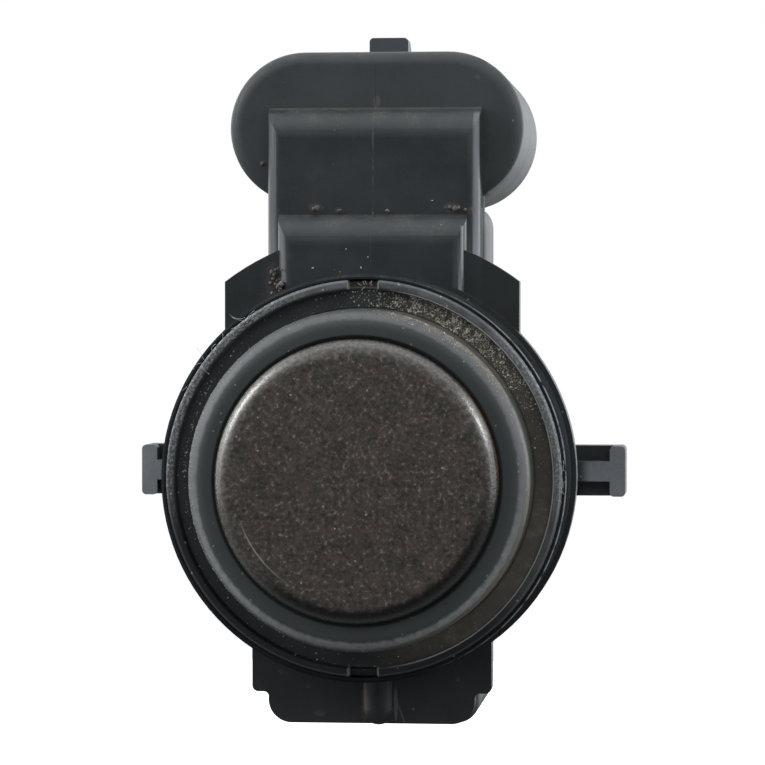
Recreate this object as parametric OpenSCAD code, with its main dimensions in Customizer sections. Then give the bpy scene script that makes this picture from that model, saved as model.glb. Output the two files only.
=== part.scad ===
// Ultrasonic parking sensor.
// A painted aluminium pot with a piezo disc behind its membrane sits in a rubber ring. A plastic
// ring holds both in the barrel of a moulded housing, which also carries the circuit board, the
// cable socket above it and a latching lug on each side. The open back is filled with potting.
// Origin: centre of the barrel's front rim, on the sensor's axis.
// The sensor looks along -Y, and the cable socket is above it, towards +Z.

/* [Membrane pot] */
// Outside diameter of the pot
pot_d = 15.5; // [13:0.1:18]
// How far the membrane stands in front of the rubber nose
pot_proud = 1.1; // [0.7:0.05:2]
// Rounding round the membrane
pot_edge_r = 1.0; // [0.4:0.05:1.4]
// Thickness of the membrane
membrane_t = 0.7; // [0.5:0.05:1]
// Thickness of the pot's round wall
pot_wall = 1.15; // [0.8:0.05:1.6]
// Width of the collar that locks the pot in the rubber
pot_collar_w = 0.5; // [0.3:0.05:0.7]
// Length of that collar
pot_collar_len = 1.5; // [1:0.1:2]
// Depth of the slot behind the membrane that shapes the beam
beam_slot_depth = 3.0; // [2.6:0.1:4]

/* [Piezo and damping] */
// Diameter of the piezo disc
piezo_d = 8.4; // [7:0.1:9.4]
// Thickness of the piezo disc
piezo_t = 0.7; // [0.4:0.05:0.9]
// Thickness of the damping felt
felt_t = 1.4; // [1:0.1:2.2]
// Diameter of each piezo lead
lead_d = 0.6; // [0.4:0.05:0.8]
// Distance between the two leads
lead_pitch = 2.8; // [2:0.1:3.2]

/* [Rubber ring] */
// Thickness of the rubber nose round the pot
nose_wall = 1.6; // [1.2:0.05:2.2]
// How far the nose stands in front of the barrel
nose_proud = 3.4; // [2.6:0.1:4.5]
// Rounding of the nose's outer edge
nose_edge_r = 0.85; // [0.4:0.05:1]
// Width of the skirt that the plastic ring presses on
skirt_w = 0.95; // [0.7:0.05:1.4]

/* [Retaining ring] */
// Thickness of the ring, from its rim to its seat in the barrel
ring_t = 1.75; // [1.3:0.05:2.2]
// How far the ring's rim stands in front of the barrel
ring_proud = 0.15; // [0:0.05:0.4]
// Width of the ring's raised rim
ring_rim_w = 0.52; // [0.4:0.02:0.7]
// Depth of the ring's face behind its rim
ring_floor_depth = 0.6; // [0.4:0.05:0.8]
// Width of the notches at the top and bottom of the rim
ring_notch_w = 1.7; // [1.2:0.1:2.4]

/* [Barrel and flange] */
// Depth of the barrel, from its rim to its floor
barrel_depth = 4.4; // [3.8:0.1:6]
// Thickness of the barrel's wall
barrel_wall = 0.95; // [0.8:0.05:1.4]
// Thickness of the thin lip round the retaining ring
lip_t = 0.26; // [0.2:0.01:0.4]
// Thickness of the wall behind the barrel
back_wall = 1.3; // [1.1:0.1:2]
// Thickness of the flange plate
plate_t = 1.2; // [1:0.1:1.4]
// How far the round flange stands out past the barrel
collar_w = 0.3; // [0.2:0.05:0.6]
// Width of the flange at its shoulders
wing_w = 16.7; // [14:0.1:18]
// Height of the flange above the axis
wing_top = 12.85; // [12:0.05:13.5]
// Width of each sloping shoulder
wing_slope_w = 2.85; // [2:0.05:4]
// Drop of each sloping shoulder
wing_slope_h = 1.7; // [1:0.05:2.4]
// Reach of the flange's shoulders from the axis, where their corners are blunted
wing_reach = 13.75; // [13:0.05:15]
// Width of the flange's lower tab
tab_w = 13.6; // [12.6:0.1:15]
// Depth of the flange below the axis
tab_bottom = 12.3; // [12:0.1:13]

/* [Board box] */
// Width of the box
box_w = 12.15; // [11:0.05:13]
// Height of the box above the axis
box_top = 15.5; // [14.6:0.1:17]
// Depth of the box below the axis
box_bottom = 14.05; // [13.6:0.05:16]
// Width of the foot, the box's front below the flange's tab
foot_w = 11.7; // [10.6:0.1:12.6]
// Rounding of the box's corners, seen from the front
box_corner_r = 1.3; // [0.6:0.1:2]
// Rounding of the upright front edges
box_edge_r = 0.8; // [0.3:0.05:1]
// Side wall of the box
box_wall = 1.1; // [0.9:0.05:1.4]
// Front wall of the box
box_front_wall = 1.6; // [1.2:0.1:2]
// How far the rim stands behind the potting
rim_h = 1.0; // [0.6:0.1:1.6]
// Diameter of the passage for the leads
tunnel_d = 6.4; // [5:0.1:7.4]

/* [Neck] */
// Width of the raised pad above the barrel
pad_w = 10.7; // [9.5:0.1:11]
// How far the pad stands in front of the flange
pad_proud = 0.4; // [0.2:0.05:0.8]
// Height of the pad above the flange
pad_over = 2.0; // [1.4:0.05:2.6]
// Height of the neck above the centre of the cable socket
neck_over = 1.15; // [0.5:0.05:1.6]
// Rounding of the neck's and the pad's upper front edges
neck_edge_r = 1.85; // [1:0.05:2.4]

/* [Cable socket] */
// Height of the socket's centre above the axis
socket_z = 19.75; // [19.2:0.05:22]
// Outside width of the socket
socket_w = 16.9; // [15:0.1:19]
// Outside height of the socket
socket_h = 8.7; // [8:0.1:9.4]
// Wall of the socket
socket_wall = 1.25; // [1:0.05:1.6]
// How far the socket's front lies behind the neck
socket_setback = 1.5; // [1.2:0.1:2]
// Thickness of the socket's floor
socket_floor_t = 2.4; // [2:0.1:3]
// Depth of the socket
socket_depth = 11.4; // [9:0.1:13]
// Rounding of the socket's front edge
socket_edge_r = 0.8; // [0.3:0.05:1]
// Chamfer of the socket's mouth
mouth_chamfer = 0.3; // [0.15:0.05:0.5]
// Width of the latch nose on top
latch_w = 2.3; // [1.8:0.1:3.2]
// Height of the latch nose
latch_h = 1.36; // [1:0.02:1.8]
// Distance of the latch nose from the mouth
latch_from_mouth = 2.8; // [1.5:0.1:3.5]
// Length of the latch nose
latch_len = 3.3; // [2.5:0.1:4]

/* [Contact pins] */
// Distance between neighbouring pins
pin_pitch = 3.5; // [3:0.1:3.6]
// Width of each pin
pin_w = 1.0; // [0.7:0.05:1.1]
// Thickness of each pin
pin_t = 0.6; // [0.4:0.05:0.7]
// Length of each pin inside the socket
pin_reach = 6.1; // [5:0.1:7]

/* [Side lugs] */
// Distance across both lugs
lug_span = 28.26; // [26:0.02:31]
// Height of each lug
lug_h = 2.92; // [2.6:0.02:4]
// Distance of the lugs behind the flange
lug_gap = 4.7; // [3.5:0.1:6]
// Thickness of each lug from front to back
lug_depth = 2.8; // [2.2:0.1:3.4]
// Depth of the pockets in the front of each lug
lug_pocket = 1.2; // [0.6:0.1:1.6]
// Thickness of the rib between the pockets
lug_rib_t = 1.15; // [0.8:0.05:1.5]
// Thickness of the plate at each lug's end
lug_end_t = 0.9; // [0.7:0.05:1.4]

/* [Lower rib] */
// Radius of the half-round rib below the barrel
rib_r = 1.0; // [0.7:0.05:1.3]
// Distance of the rib from the middle
rib_x = 0.35; // [0:0.05:1]
// How far the rib reaches below the box
rib_below = 0.13; // [0.05:0.01:0.4]

/* [Circuit board] */
// Thickness of the board
board_t = 1.0; // [0.8:0.1:1.6]
// Room for the components in front of the board
component_room = 3.0; // [2.6:0.1:3.6]
// Width of the ledge that carries the board
ledge_w = 0.65; // [0.4:0.05:0.8]
// Thickness of the potting behind the board
potting_t = 4.6; // [3.6:0.1:5.8]
// Side of the square transceiver chip
chip_w = 5.0; // [4:0.1:5.4]
// Thickness of the transceiver chip
chip_t = 0.9; // [0.7:0.05:1.2]

/* [Hidden] */
$fn = 96;

// Clearances between pieces that slide together, and the overlap of cuts past a face
slide_gap = 0.04;
nose_gap = 0.1;
piezo_gap = 0.3;
board_gap = 0.1;
hole_gap = 0.06;
over = 0.5;

// Membrane pot, along the axis
pot_r = pot_d / 2;
nose_front = -nose_proud;
pot_face = nose_front - pot_proud;
pot_back_gap = 0.2;
pot_back = barrel_depth - pot_back_gap;
pot_collar_r = pot_r + pot_collar_w;
pot_bore_r = pot_r - pot_wall;
beam_slot_w = piezo_d + 2 * piezo_gap;
membrane_back = pot_face + membrane_t;
beam_slot_back = membrane_back + beam_slot_depth;
piezo_back = membrane_back + piezo_t;
felt_back = piezo_back + felt_t;
filling_recess = 0.6;
filling_back = pot_back - filling_recess;

// Rubber ring, plastic ring and barrel, outwards from the pot
nose_r = pot_r + nose_wall;
nose_groove = [0.2, 0.35];
skirt_r = nose_r + skirt_w;
bore_r = skirt_r + slide_gap;
barrel_r = bore_r + barrel_wall;
barrel_chamfer = 0.15;
counterbore_r = barrel_r - lip_t;
ring_r = counterbore_r - slide_gap;
ring_bore_r = nose_r + nose_gap;
ring_front = -ring_proud;
ring_seat = ring_front + ring_t;
ring_floor = ring_front + ring_floor_depth;
ring_edge = 0.08;
collar_r = barrel_r + collar_w;

// Housing, from the flange backwards
plate_rear = barrel_depth + back_wall;
plate_front = plate_rear - plate_t;
plate_step = 0.8;
tab_corner_r = 0.35;
foot_fillet_r = 0.3;
small_edge_r = 0.25;
box_front = plate_front + plate_step;
cavity_front = box_front + box_front_wall;
board_front = cavity_front + component_room;
board_rear = board_front + board_t;
potting_rear = board_rear + potting_t;
box_rear = potting_rear + rim_h;
cavity_w = box_w - 2 * box_wall;
cavity_top = box_top - box_wall;
cavity_bottom = box_bottom - box_wall;
cavity_corner_r = 0.5;
pad_front = plate_front - pad_proud;
pad_top = wing_top + pad_over;
neck_top = socket_z + neck_over;

// Cable socket and pins
socket_front = box_front + socket_setback;
socket_floor = socket_front + socket_floor_t;
socket_mouth = socket_floor + socket_depth;
socket_r = socket_h / 2;
socket_arm = (socket_w - socket_h) / 2;
socket_bottom = socket_z - socket_r;
saddle_inset = 1.5;
pin_tip = socket_floor + pin_reach;
pin_taper = 0.9;
pin_riser_y = (box_front + socket_floor) / 2;
pin_edge = 1.3;
pin_tail_z = cavity_top - board_gap - pin_edge;
pin_tail_len = 1.2;

// Board, its ledge and its components
front_cavity_w = cavity_w - 2 * ledge_w;
front_cavity_top = pin_tail_z - pin_edge - pin_t / 2;
front_cavity_bottom = cavity_bottom - ledge_w;
board_w = cavity_w - 2 * board_gap;
board_top = cavity_top - board_gap;
board_bottom = cavity_bottom - board_gap;
lead_tail_len = 0.4;
part_gap = 0.8;
chip_z = front_cavity_top - part_gap - chip_w / 2;
coil_len = 4.0;
core_flange_t = 1.2;
core_w = 6.0;
core_bar_w = 2.6;
core_room = 0.4;
core_h = component_room - core_room;
core_bar_h = core_h / 2;
core_len = coil_len + 2 * core_flange_t;
core_z = -front_cavity_bottom + part_gap + core_len / 2;
coil_inset = 0.35;
supply_cap_size = [3.2, 2.0, 2.5];
supply_cap_z = core_z + core_len / 2 + part_gap / 2 + supply_cap_size[2] / 2;
small_cap_size = [1.6, 0.8, 0.8];
resistor_size = [1.6, 0.45, 0.8];
small_part_gap = 0.3;
small_part_x = front_cavity_w / 2 - small_part_gap - small_cap_size[0] / 2;
small_part_pitch = 1.6;
small_part_count = 4;
small_part_z = -1.0;
diode_size = [1.25, 0.95, 1.7];
diode_z = chip_z - chip_w / 2 - part_gap / 2 - diode_size[2] / 2;

// Draws (x, z) shapes and carries them from the front to the rear
module extrude_y(front, rear) {
    translate([0, rear, 0]) rotate([90, 0, 0]) linear_extrude(rear - front) children();
}

// Draws (y, z) shapes and carries them across, centred on x
module extrude_x(width, x = 0) {
    translate([x - width / 2, 0, 0]) rotate([90, 0, 90]) linear_extrude(width) children();
}

// Draws (x, y) shapes and carries them upwards
module extrude_z(bottom, top) {
    translate([0, 0, bottom]) linear_extrude(top - bottom) children();
}

// Turns (radius, y) shapes round the sensor's axis
module revolve_y() {
    rotate([-90, 0, 0]) rotate_extrude() children();
}

// A rectangle between two corners
module span(low, high) {
    translate(low) square(high - low);
}

// A rectangle between two corners with all its corners rounded
module rounded_span(low, high, r) {
    span([low[0] + r, low[1]], [high[0] - r, high[1]]);
    span([low[0], low[1] + r], [high[0], high[1] - r]);
    for (x = [low[0] + r, high[0] - r], y = [low[1] + r, high[1] - r]) {
        translate([x, y]) circle(r);
    }
}

// Half section of a round plug of radius r from front to rear, its front edge rounded
module plug_section(r, front, rear, edge_r) {
    span([0, front], [r - edge_r, rear]);
    span([0, front + edge_r], [r, rear]);
    translate([r - edge_r, front + edge_r]) intersection() {
        circle(edge_r);
        span([0, -edge_r], [edge_r, 0]);
    }
}

// A long-oval solid about the socket's centre, from a half section of (distance, y)
module oval_y() {
    for (side = [-1, 1]) {
        translate([side * socket_arm, 0, socket_z]) rotate([-90, 0, 0])
            rotate([0, 0, -90 * side]) rotate_extrude(angle = 180) children();
    }
    translate([socket_arm, 0, socket_z]) rotate([0, -90, 0]) linear_extrude(2 * socket_arm) {
        children();
        mirror([1, 0]) children();
    }
}

// Outline of the pot with its collar, as a half section
module pot_section() {
    plug_section(pot_r, pot_face, pot_back, pot_edge_r);
    span([0, pot_back - pot_collar_len], [pot_collar_r, pot_back]);
}

// The slot behind the membrane, narrow across so that the beam is wide
module beam_slot(gap) {
    intersection() {
        circle(pot_bore_r - gap);
        square([beam_slot_w - 2 * gap, pot_d], center = true);
    }
}

// The hollow of the pot between two depths: the slot in front, the round bore behind it
module pot_hollow(front, rear) {
    if (front < beam_slot_back) {
        extrude_y(front, min(rear, beam_slot_back)) beam_slot(0);
    }
    if (rear > beam_slot_back) {
        extrude_y(max(front, beam_slot_back), rear) circle(pot_bore_r);
    }
}

// Both leads, grown all round by gap
module lead_holes(gap) {
    for (side = [-1, 1]) lead(side, gap);
}

// One straight lead from the piezo disc to just behind the board
module lead(side, gap = 0) {
    translate([side * lead_pitch / 2, 0, 0])
        extrude_y(piezo_back, board_rear + lead_tail_len) circle(lead_d / 2 + gap);
}

// One contact: a blade in the socket, a riser inside the neck and a tail through the board
module contact(index) {
    x = (index - 1) * pin_pitch;
    half = pin_t / 2;
    extrude_x(pin_w, x) {
        span([pin_riser_y - half, socket_z - half], [pin_tip - pin_taper, socket_z + half]);
        polygon([[pin_tip - pin_taper, socket_z - half], [pin_tip, socket_z - half / 2],
            [pin_tip, socket_z + half / 2], [pin_tip - pin_taper, socket_z + half]]);
        span([pin_riser_y - half, pin_tail_z - half], [pin_riser_y + half, socket_z + half]);
        span([pin_riser_y - half, pin_tail_z - half],
            [board_rear + pin_tail_len, pin_tail_z + half]);
    }
}

// Outside of the barrel
module barrel() {
    revolve_y() polygon([[0, 0], [barrel_r - barrel_chamfer, 0], [barrel_r, barrel_chamfer],
        [barrel_r, plate_front + over], [0, plate_front + over]]);
}

// Flange plate: sloping shoulders above, a tab and the foot below, which meet in small fillets,
// and a round collar level with the pad
module flange_plate() {
    half = wing_w / 2;
    extrude_y(pad_front, plate_rear) circle(collar_r);
    extrude_y(plate_front, plate_rear) {
        intersection() {
            circle(wing_reach);
            polygon([[-half, 0], [half, 0], [half, wing_top - wing_slope_h],
                [half - wing_slope_w, wing_top], [wing_slope_w - half, wing_top],
                [-half, wing_top - wing_slope_h]]);
        }
        rounded_span([-tab_w / 2, -tab_bottom], [tab_w / 2, 0], tab_corner_r);
        rounded_span([-foot_w / 2, -box_bottom], [foot_w / 2, 0], box_corner_r);
        for (side = [0, 1]) mirror([side, 0]) translate([foot_w / 2, -tab_bottom]) difference() {
            span([-over, -foot_fillet_r], [foot_fillet_r, over]);
            translate([foot_fillet_r, -foot_fillet_r]) circle(foot_fillet_r);
        }
    }
}

// Plan of the box and the neck, with rounded upright front edges
module upright_plan(width, front, rear) {
    half = width / 2;
    span([-half, front + box_edge_r], [half, rear]);
    span([box_edge_r - half, front], [half - box_edge_r, rear]);
    for (side = [-1, 1]) {
        translate([side * (half - box_edge_r), front + box_edge_r]) circle(box_edge_r);
    }
}

// An upright block from a depth to a height, its upper front edge rounded
module upright_block(width, front, rear, bottom, top, edge_r) {
    intersection() {
        extrude_z(bottom, top) upright_plan(width, front, rear);
        extrude_x(width + over) {
            span([front, bottom], [rear, top - edge_r]);
            span([front + edge_r, bottom], [rear, top]);
            translate([front + edge_r, top - edge_r]) circle(edge_r);
        }
    }
}

// Box for the board, open at the back
module board_box() {
    intersection() {
        extrude_y(box_front, box_rear) rounded_span([-box_w / 2, -box_bottom],
            [box_w / 2, box_top], box_corner_r);
        extrude_z(-box_bottom, box_top) upright_plan(box_w, box_front, box_rear);
    }
}

// Neck between the box and the cable socket, the pad in front of it and the saddle behind it
module neck() {
    upright_block(box_w, box_front, socket_floor, 0, neck_top, neck_edge_r);
    upright_block(pad_w, pad_front, cavity_front, bore_r - over, pad_top, neck_edge_r);
    extrude_y(socket_front, box_rear) span([saddle_inset - box_w / 2, cavity_top + over],
        [box_w / 2 - saddle_inset, socket_bottom + over]);
}

// Outside of the cable socket with the latch nose for the plug
module socket_body() {
    oval_y() difference() {
        plug_section(socket_r, socket_front, socket_mouth, socket_edge_r);
        polygon([[socket_r - mouth_chamfer, socket_mouth], [socket_r + over, socket_mouth + over],
            [socket_r + over, socket_mouth - mouth_chamfer - over],
            [socket_r, socket_mouth - mouth_chamfer]]);
    }
    top = socket_z + socket_r;
    rear = socket_mouth - latch_from_mouth;
    front = rear - latch_len;
    intersection() {
        extrude_x(latch_w) polygon([[front, top - over], [front, top + latch_h],
            [front + latch_len / 3, top + latch_h], [rear, top], [rear, top - over]]);
        extrude_y(front, rear) rounded_span([-latch_w / 2, top - socket_wall],
            [latch_w / 2, top + latch_h], small_edge_r);
    }
}

// Inside of the cable socket, flared at its mouth
module socket_hollow() {
    r = socket_r - socket_wall;
    oval_y() polygon([[0, socket_floor], [r, socket_floor], [r, socket_mouth - mouth_chamfer],
        [r + mouth_chamfer, socket_mouth], [r + mouth_chamfer, socket_mouth + over],
        [0, socket_mouth + over]]);
}

// One latching lug: a plate with a rib and an end plate raised on its front
module side_lug(side) {
    root = box_w / 2 - box_wall / 2;
    tip = lug_span / 2;
    front = plate_rear + lug_gap;
    rear = front + lug_depth;
    mirror([side < 0 ? 1 : 0, 0, 0]) {
        extrude_y(front + lug_pocket, rear) rounded_span([root, -lug_h / 2], [tip, lug_h / 2],
            small_edge_r);
        extrude_y(front, rear) span([root, -lug_rib_t / 2], [tip - lug_end_t / 2, lug_rib_t / 2]);
        extrude_y(front, rear) rounded_span([tip - lug_end_t, -lug_h / 2], [tip, lug_h / 2],
            small_edge_r);
    }
}

// Half-round rib below the barrel, level with the collar and with a domed lower end
module lower_rib() {
    low = -box_bottom - rib_below + rib_r;
    translate([rib_x, pad_front + rib_r, 0]) {
        extrude_z(low, -bore_r) circle(rib_r);
        translate([0, 0, low]) sphere(rib_r);
    }
}

// Stepped bore of the barrel and the passage for the leads
module barrel_hollow() {
    revolve_y() {
        span([0, -over], [counterbore_r, ring_seat]);
        span([0, -over], [bore_r, barrel_depth]);
        span([0, -over], [tunnel_d / 2, cavity_front + over]);
    }
}

// Hollow of the box: the board's space behind, the components' space in front
module box_hollow() {
    extrude_y(board_front, box_rear + over) cavity_outline();
    extrude_y(cavity_front, board_front + over) rounded_span(
        [-front_cavity_w / 2, -front_cavity_bottom], [front_cavity_w / 2, front_cavity_top],
        cavity_corner_r);
}

// Outline of the space behind the board
module cavity_outline() {
    rounded_span([-cavity_w / 2, -cavity_bottom], [cavity_w / 2, cavity_top], cavity_corner_r);
}

// Moulded housing, in one piece
module housing() {
    color("#23272a") difference() {
        union() {
            barrel();
            flange_plate();
            board_box();
            neck();
            socket_body();
            for (side = [-1, 1]) side_lug(side);
            lower_rib();
        }
        barrel_hollow();
        box_hollow();
        socket_hollow();
        for (index = [0:2]) contact(index);
    }
}

// Plastic ring that holds the rubber in the barrel, notched at the top and bottom
module retaining_ring() {
    color("#1b1d1f") difference() {
        revolve_y() polygon([[ring_bore_r, ring_floor], [ring_r - ring_rim_w, ring_floor],
            [ring_r - ring_rim_w, ring_front + ring_edge],
            [ring_r - ring_rim_w + ring_edge, ring_front], [ring_r - ring_edge, ring_front],
            [ring_r, ring_front + ring_edge], [ring_r, ring_seat], [ring_bore_r, ring_seat]]);
        extrude_y(ring_front - over, ring_floor) for (side = [-1, 1]) {
            translate([0, side * ring_r]) square([ring_notch_w, 2 * ring_rim_w + over], true);
        }
    }
}

// Soft rubber ring round the pot: a rounded nose in front, a skirt inside the barrel
module decoupling_ring() {
    color("#3a3d3f") revolve_y() difference() {
        union() {
            plug_section(nose_r, nose_front, barrel_depth, nose_edge_r);
            span([0, ring_seat], [skirt_r, barrel_depth]);
        }
        pot_section();
        span([0, nose_front - over], [pot_r, barrel_depth + over]);
        polygon([[pot_r - over, nose_front - over], [pot_r + nose_groove[0], nose_front - over],
            [pot_r + nose_groove[0], nose_front], [pot_r, nose_front + nose_groove[1]],
            [pot_r - over, nose_front + nose_groove[1]]]);
    }
}

// Drawn aluminium pot, painted on its membrane
module transducer_pot() {
    color("#453d3a") difference() {
        revolve_y() pot_section();
        pot_hollow(membrane_back, pot_back + over);
    }
}

// Piezo disc bonded to the back of the membrane
module piezo_disc() {
    color("#c9c3ad") extrude_y(membrane_back, piezo_back) circle(piezo_d / 2);
}

// Felt that damps the disc from behind
module damping_felt() {
    color("#b9b2a3") difference() {
        extrude_y(piezo_back, felt_back) beam_slot(slide_gap);
        lead_holes(slide_gap);
    }
}

// Silicone that closes the pot and holds the leads
module pot_filling() {
    color("#8d9296") difference() {
        pot_hollow(felt_back, filling_back);
        lead_holes(0);
    }
}

module signal_lead() {
    color("#b4322c") lead(-1);
}

module ground_lead() {
    color("#1c1c1c") lead(1);
}

// Circuit board, drilled for the pins and the leads
module circuit_board() {
    color("#2f5d3a") extrude_y(board_front, board_rear) difference() {
        rounded_span([-board_w / 2, -board_bottom], [board_w / 2, board_top], cavity_corner_r);
        for (index = [0:2]) {
            translate([(index - 1) * pin_pitch, pin_tail_z])
                circle(norm([pin_w, pin_t]) / 2 + hole_gap);
        }
        for (side = [-1, 1]) {
            translate([side * lead_pitch / 2, 0]) circle(lead_d / 2 + hole_gap);
        }
    }
}

// A component of size (x, y, z) standing on the front of the board
module on_board(x, z, size) {
    extrude_y(board_front - size[1], board_front)
        translate([x, z]) square([size[0], size[2]], center = true);
}

module transceiver_chip() {
    color("#26282a") on_board(0, chip_z, [chip_w, chip_t, chip_w]);
}

// Ferrite drum core lying on the board: two flanges on a bar
module transformer_core() {
    flange_z = (coil_len + core_flange_t) / 2;
    color("#3d3a38") {
        for (side = [-1, 1]) {
            on_board(0, core_z + side * flange_z, [core_w, core_h, core_flange_t]);
        }
        translate([0, -core_bar_h / 2, 0])
            on_board(0, core_z, [core_bar_w, core_bar_h, core_len]);
    }
}

// Copper winding round the core's bar
module transformer_coil() {
    color("#a5602f") difference() {
        translate([0, -coil_inset, 0])
            on_board(0, core_z, [core_w - 2 * coil_inset, core_h - 2 * coil_inset, coil_len]);
        translate([0, -core_bar_h / 2, 0])
            on_board(0, core_z, [core_bar_w, core_bar_h, core_len]);
    }
}

module supply_capacitor() {
    color("#a08a68") on_board(0, supply_cap_z, supply_cap_size);
}

// A column of small components beside the leads
module small_parts(x, size) {
    for (index = [0:small_part_count - 1]) {
        on_board(x, small_part_z + index * small_part_pitch, size);
    }
}

module filter_capacitors() {
    color("#a08a68") small_parts(-small_part_x, small_cap_size);
}

module chip_resistors() {
    color("#2b2b2b") small_parts(small_part_x, resistor_size);
}

module protection_diode() {
    color("#2a2a2c") on_board(0, diode_z, diode_size);
}

module supply_pin() {
    color("#c8c6c0") contact(0);
}

module signal_pin() {
    color("#c8c6c0") contact(1);
}

module ground_pin() {
    color("#c8c6c0") contact(2);
}

// Cured potting behind the board, cast round the pins' and the leads' tails
module rear_potting() {
    color("#303335") difference() {
        extrude_y(board_rear, potting_rear) cavity_outline();
        for (index = [0:2]) contact(index);
        lead_holes(0);
    }
}

housing();
retaining_ring();
decoupling_ring();
transducer_pot();
piezo_disc();
damping_felt();
pot_filling();
signal_lead();
ground_lead();
circuit_board();
transceiver_chip();
transformer_core();
transformer_coil();
supply_capacitor();
filter_capacitors();
chip_resistors();
protection_diode();
supply_pin();
signal_pin();
ground_pin();
rear_potting();
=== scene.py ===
import bmesh
import bpy
import numpy as np
from mathutils import Matrix, Vector


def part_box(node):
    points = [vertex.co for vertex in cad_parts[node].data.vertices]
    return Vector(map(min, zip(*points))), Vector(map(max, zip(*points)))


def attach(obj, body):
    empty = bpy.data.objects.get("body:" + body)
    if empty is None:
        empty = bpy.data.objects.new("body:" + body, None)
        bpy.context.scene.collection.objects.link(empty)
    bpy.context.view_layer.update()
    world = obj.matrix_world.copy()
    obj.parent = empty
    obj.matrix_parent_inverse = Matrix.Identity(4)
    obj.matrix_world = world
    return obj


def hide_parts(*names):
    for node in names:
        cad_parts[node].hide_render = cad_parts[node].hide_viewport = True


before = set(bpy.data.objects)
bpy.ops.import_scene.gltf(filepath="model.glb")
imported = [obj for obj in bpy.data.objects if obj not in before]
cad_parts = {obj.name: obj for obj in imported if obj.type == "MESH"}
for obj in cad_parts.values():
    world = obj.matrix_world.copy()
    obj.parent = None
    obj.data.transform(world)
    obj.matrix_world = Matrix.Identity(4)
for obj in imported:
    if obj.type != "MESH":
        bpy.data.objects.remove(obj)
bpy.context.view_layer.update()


# Camera: a long lens almost straight in front of the membrane, a little to the sensor's right
# and just above its axis, so that the right side of the socket shows as a narrow strip.
def put(name, data):
    """An object for a camera, a lamp or a mesh, linked into the scene."""
    thing = bpy.data.objects.new(name, data)
    bpy.context.scene.collection.objects.link(thing)
    return thing


azimuth = np.radians(5.75)
elevation = np.radians(1.08)
image_px = 765
centre_px = image_px / 2
focal_px = 3450
nose_distance = 0.187
nose_centre = Vector((0, -0.0034, 0))
nose_px = (356.4, 481.75)
sensor_mm = 36
near_clip = 0.01
camera_right = Vector((np.cos(azimuth), np.sin(azimuth), 0))
camera_forward = Vector((-np.sin(azimuth) * np.cos(elevation),
                         np.cos(azimuth) * np.cos(elevation), -np.sin(elevation)))
camera_up = camera_right.cross(camera_forward)
across = (nose_px[0] - centre_px) / focal_px
down = (nose_px[1] - centre_px) / focal_px
camera_spot = nose_centre - nose_distance * (camera_forward + camera_right * across - camera_up * down)
camera_data = bpy.data.cameras.new("camera")
camera_data.sensor_width = sensor_mm
camera_data.lens = sensor_mm * focal_px / image_px
camera_data.clip_start = near_clip
camera = put("camera", camera_data)
camera.matrix_world = (Matrix.Translation(camera_spot)
                       @ Matrix((camera_right, camera_up, -camera_forward)).transposed().to_4x4())
bpy.context.scene.camera = camera


# Housing: one injection moulding of glass-filled charcoal plastic with a finely eroded skin.
# Its edges have the small radius that a worn mould leaves, and dust lies on whatever faces up.
mm = 0.001


def place(tree, kind, sockets=None, **settings):
    """Puts a node into a tree and fills its sockets: another node's socket is linked, a value set."""
    node = tree.nodes.new(kind)
    for name, value in settings.items():
        setattr(node, name, value)
    for name, value in (sockets or {}).items():
        if isinstance(value, bpy.types.NodeSocket):
            tree.links.new(value, node.inputs[name])
        else:
            node.inputs[name].default_value = value
    return node


def calc(tree, operation, *values):
    """One sum on values or sockets."""
    return place(tree, "ShaderNodeMath", dict(enumerate(values)), operation=operation).outputs[0]


def times(tree, *masks):
    """The product of masks, each a socket or a number."""
    product = masks[0]
    for mask in masks[1:]:
        product = calc(tree, "MULTIPLY", product, mask)
    return product


def spread(tree, mask, low, high):
    """Stretches a mask evenly: low where it is 0, high where it is 1."""
    return calc(tree, "MULTIPLY_ADD", mask, high - low, low)


def mingle(tree, first, second, share):
    """A share of one value and the rest of another."""
    return calc(tree, "MULTIPLY_ADD", first, share, times(tree, second, 1 - share))


def ramp(tree, value, low, high):
    """Carries a value from 0 at low to 1 at high, with soft ends."""
    node = place(tree, "ShaderNodeMapRange", {"Value": value, "From Min": low, "From Max": high},
                 interpolation_type="SMOOTHSTEP")
    return node.outputs["Result"]


def band(tree, value, low, full, still, gone):
    """Lets a stretch of a value through: 0 up to low, 1 from full to still and 0 from gone on."""
    return times(tree, ramp(tree, value, low, full), ramp(tree, value, gone, still))


def zone(tree, *limits):
    """Where several values are all in bounds: each limit is a value and the two bounds of a ramp
    or the four of a band, and the masks are multiplied."""
    kinds = {2: ramp, 4: band}
    return times(tree, *(kinds[len(bounds)](tree, value, *bounds) for value, *bounds in limits))


def blend(tree, mask, under, over, strength=1.0):
    """Lays one colour over another through a mask, at full strength or less. A colour is a socket
    or its shares of red, green and blue."""
    if strength < 1:
        mask = times(tree, mask, strength)
    under, over = (colour if isinstance(colour, bpy.types.NodeSocket) else (*colour, 1)
                   for colour in (under, over))
    node = place(tree, "ShaderNodeMix", {0: mask, 6: under, 7: over}, data_type="RGBA")
    return node.outputs[2]


def millimetres(tree):
    """The place on the object, in millimetres."""
    place_on = place(tree, "ShaderNodeTexCoord").outputs["Object"]
    return place(tree, "ShaderNodeMapping", {"Vector": place_on, "Scale": (1 / mm, 1 / mm, 1 / mm)},
                 vector_type="POINT").outputs["Vector"]


def along_axes(tree):
    """The place on the object as x to the right, y into the depth and z up, in millimetres."""
    return place(tree, "ShaderNodeSeparateXYZ", {0: millimetres(tree)}).outputs


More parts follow.
